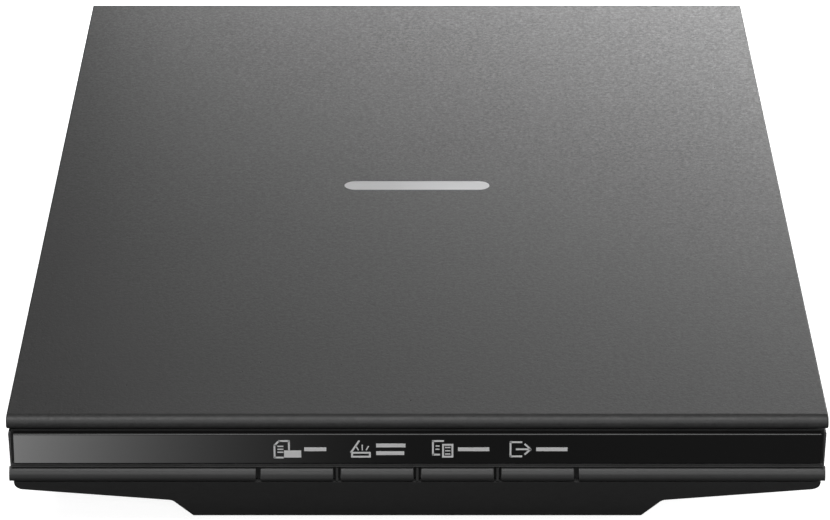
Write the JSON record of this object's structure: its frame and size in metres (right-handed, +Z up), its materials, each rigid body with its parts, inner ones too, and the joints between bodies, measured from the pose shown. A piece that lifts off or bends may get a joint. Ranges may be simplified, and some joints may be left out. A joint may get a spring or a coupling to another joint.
{
  "type": "flatbed_scanner",
  "caption": "Slim flatbed document scanner with a lifting lid, a glass platen, a geared sensor carriage and a row of front push buttons",
  "frame": {"origin": "on the table under the middle of the closed scanner", "axes": "+X to the right of a person facing the buttons, +Y from the buttons to the hinges, +Z up"},
  "size_m": [0.25, 0.367, 0.042],
  "materials": {
    "charcoal_plastic": "fine moulded grain",
    "hull_plastic": "fine moulded grain",
    "gloss_black": "polished",
    "trim_plastic": "satin",
    "white_plastic": "plain",
    "grey_plastic": "plain",
    "black_plastic": "plain",
    "natural_nylon": "plain",
    "float_glass": "polished",
    "acrylic": "clear",
    "steel": "ground",
    "plated_steel": "zinc plated",
    "brass": "plain",
    "silver": "satin",
    "rubber": "plain",
    "circuit_board": "solder mask",
    "white_sheet": "smooth",
    "foam": "closed-cell foam",
    "tape": "adhesive tape",
    "cable_film": "polyester film"
  },
  "bodies": {
    "base": {"lower_shell": "hull_plastic", "upper_frame": "charcoal_plastic", "platen_glass": "float_glass", "glass_tape": "tape", "calibration_strip": "white_sheet", "front_panel": "gloss_black", "button_trim": "trim_plastic", "rubber_feet": "rubber", "case_screws": "plated_steel", "guide_rod": "steel", "front_rod_holder": "black_plastic", "rear_rod_holder": "black_plastic", "rod_screws": "plated_steel", "drive_rack": "natural_nylon", "rack_screws": "plated_steel", "main_board": "circuit_board", "main_board_chip": "black_plastic", "cable_socket": "natural_nylon", "usb_socket": "plated_steel", "board_screws": "plated_steel", "button_board": "circuit_board", "button_board_screws": "plated_steel", "tact_switches": "black_plastic", "left_hinge_guide": "black_plastic", "right_hinge_guide": "black_plastic", "flat_cable": "cable_film"},
    "hinge_lift": {"left_hinge_post": "black_plastic", "right_hinge_post": "black_plastic", "hinge_pins": "steel"},
    "lid": {"lid_shell": "charcoal_plastic", "lid_liner": "black_plastic", "pad_foam": "foam", "pad_sheet": "white_sheet", "lid_badge": "silver", "left_lid_bracket": "black_plastic", "right_lid_bracket": "black_plastic", "lid_screws": "plated_steel"},
    "carriage": {"carriage_frame": "black_plastic", "rod_bushes": "brass", "scan_motor": "plated_steel", "motor_flange": "plated_steel", "motor_screws": "plated_steel", "gear_axles": "steel", "cis_springs": "steel"},
    "sensor": {"cis_housing": "black_plastic", "rod_lens_array": "acrylic", "light_guide": "acrylic", "sensor_board": "circuit_board", "cis_glides": "natural_nylon"},
    "pinion": {"motor_pinion": "brass", "motor_shaft": "steel"},
    "reduction": {"reduction_gear": "natural_nylon"},
    "drive": {"drive_gear": "natural_nylon"},
    "document_key": {"document_button": "trim_plastic"},
    "scan_key": {"scan_button": "trim_plastic"},
    "copy_key": {"copy_button": "trim_plastic"},
    "send_key": {"send_button": "trim_plastic"}
  },
  "joints": [
    {"name": "lid_lift", "type": "slide", "parent": "base", "child": "hinge_lift", "axis": [0, 0, 1], "range_m": [0, 0.008]},
    {"name": "lid_hinge", "type": "hinge", "parent": "hinge_lift", "child": "lid", "pos_m": [0, 0.1798, 0.0379], "axis": [-1, 0, 0], "range_deg": [0, 105]},
    {"name": "carriage_slide", "type": "slide", "parent": "base", "child": "carriage", "axis": [0, 1, 0], "range_m": [0, 0.305], "deforming": ["flat_cable"]},
    {"name": "sensor_float", "type": "slide", "parent": "carriage", "child": "sensor", "axis": [0, 0, 1], "range_m": [-0.0008, 0], "stiffness_N_per_m": 400, "springref_m": 0.004, "deforming": ["cis_springs"]},
    {"name": "drive_spin", "type": "hinge", "parent": "carriage", "child": "drive", "pos_m": [0.02605, -0.154, 0.009], "axis": [0, 0, 1], "range_deg": [0, 2915.4]},
    {"name": "reduction_spin", "type": "hinge", "parent": "carriage", "child": "reduction", "pos_m": [0.0405, -0.154, 0.0126], "axis": [0, 0, 1], "range_deg": [-8746.3, 0]},
    {"name": "pinion_spin", "type": "hinge", "parent": "carriage", "child": "pinion", "pos_m": [0.04958, -0.142, 0.014], "axis": [0, 0, 1], "range_deg": [0, 34985.4]},
    {"name": "document_press", "type": "slide", "parent": "base", "child": "document_key", "axis": [0, 1, 0], "range_m": [0, 0.0007], "stiffness_N_per_m": 600},
    {"name": "scan_press", "type": "slide", "parent": "base", "child": "scan_key", "axis": [0, 1, 0], "range_m": [0, 0.0007], "stiffness_N_per_m": 600},
    {"name": "copy_press", "type": "slide", "parent": "base", "child": "copy_key", "axis": [0, 1, 0], "range_m": [0, 0.0007], "stiffness_N_per_m": 600},
    {"name": "send_press", "type": "slide", "parent": "base", "child": "send_key", "axis": [0, 1, 0], "range_m": [0, 0.0007], "stiffness_N_per_m": 600}
  ],
  "couplings": [
    {"joint": "drive_spin", "follows": "carriage_slide", "rad_per_m": 166.67},
    {"joint": "reduction_spin", "follows": "carriage_slide", "rad_per_m": -500},
    {"joint": "pinion_spin", "follows": "carriage_slide", "rad_per_m": 2000}
  ]
}
